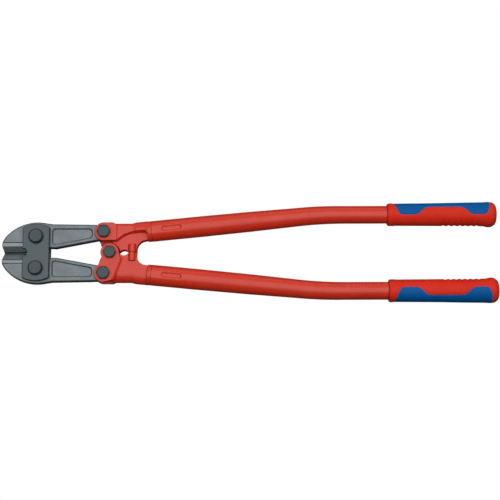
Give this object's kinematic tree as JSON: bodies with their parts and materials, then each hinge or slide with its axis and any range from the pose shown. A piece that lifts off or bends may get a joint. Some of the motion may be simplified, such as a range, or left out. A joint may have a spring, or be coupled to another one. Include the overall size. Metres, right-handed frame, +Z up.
{
  "type": "bolt cutters",
  "caption": "Long two-handed compound-action bolt cutters with forged linked jaws, painted tube handles and two-colour grips, closed and lying flat.",
  "frame": {"origin": "middle of the tool's outline on the surface it lies on", "axes": "+X along the tool from the jaws to the grips, +Z up through the tool's thickness, +Y towards the upper handle; at rest the jaws and handles are closed"},
  "size_m": [0.76, 0.157, 0.0386],
  "materials": {
    "forged_steel": "grey phosphated drop-forged steel, satin, bright at the ground edges",
    "plate_steel": "dark grey blackened rolled steel, satin",
    "bolt_steel": "dark phosphated bolts and nuts",
    "red_paint": "red powder coat, semi-gloss, fine orange peel",
    "red_plastic": "red moulded plastic, satin",
    "blue_rubber": "blue soft-touch inlay, matte"
  },
  "bodies": {
    "lower_handle": {"lower_handle_head": "red_paint", "lower_handle_tube": "red_paint", "lower_grip_core": "red_plastic", "lower_grip_insert": "blue_rubber", "lower_tail_bolt": "bolt_steel", "lower_tail_nut": "bolt_steel", "pivot_bolt": "bolt_steel", "pivot_nut": "bolt_steel"},
    "upper_handle": {"upper_handle_head": "red_paint", "upper_handle_tube": "red_paint", "upper_grip_core": "red_plastic", "upper_grip_insert": "blue_rubber", "upper_tail_bolt": "bolt_steel", "upper_tail_nut": "bolt_steel"},
    "lower_jaw": {"lower_jaw": "forged_steel"},
    "upper_jaw": {"upper_jaw": "forged_steel"},
    "link_plates": {"front_link_plate": "plate_steel", "rear_link_plate": "plate_steel", "upper_link_bolt": "bolt_steel", "upper_link_nut": "bolt_steel", "lower_link_bolt": "bolt_steel", "lower_link_nut": "bolt_steel"}
  },
  "joints": [
    {"name": "handle_pivot", "type": "hinge", "parent": "lower_handle", "child": "upper_handle", "pos_m": [-0.2143, 0, 0.0193], "axis": [0, 0, 1], "range_deg": [0, 90]},
    {"name": "lower_jaw_pivot", "type": "hinge", "parent": "lower_handle", "child": "lower_jaw", "pos_m": [-0.2238, -0.0323, 0.0193], "axis": [0, 0, 1], "range_deg": [0, 54]},
    {"name": "upper_jaw_pivot", "type": "hinge", "parent": "upper_handle", "child": "upper_jaw", "pos_m": [-0.2238, 0.0323, 0.0193], "axis": [0, 0, 1], "range_deg": [-54, 0]},
    {"name": "link_pivot", "type": "hinge", "parent": "lower_jaw", "child": "link_plates", "pos_m": [-0.3271, -0.02475, 0.0193], "axis": [0, 0, 1], "range_deg": [-9, 0]}
  ],
  "couplings": [
    {"joint": "lower_jaw_pivot", "follows": "handle_pivot", "ratio": 0.59954},
    {"joint": "upper_jaw_pivot", "follows": "handle_pivot", "ratio": -0.59954},
    {"joint": "link_pivot", "follows": "handle_pivot", "ratio": -0.09954}
  ]
}
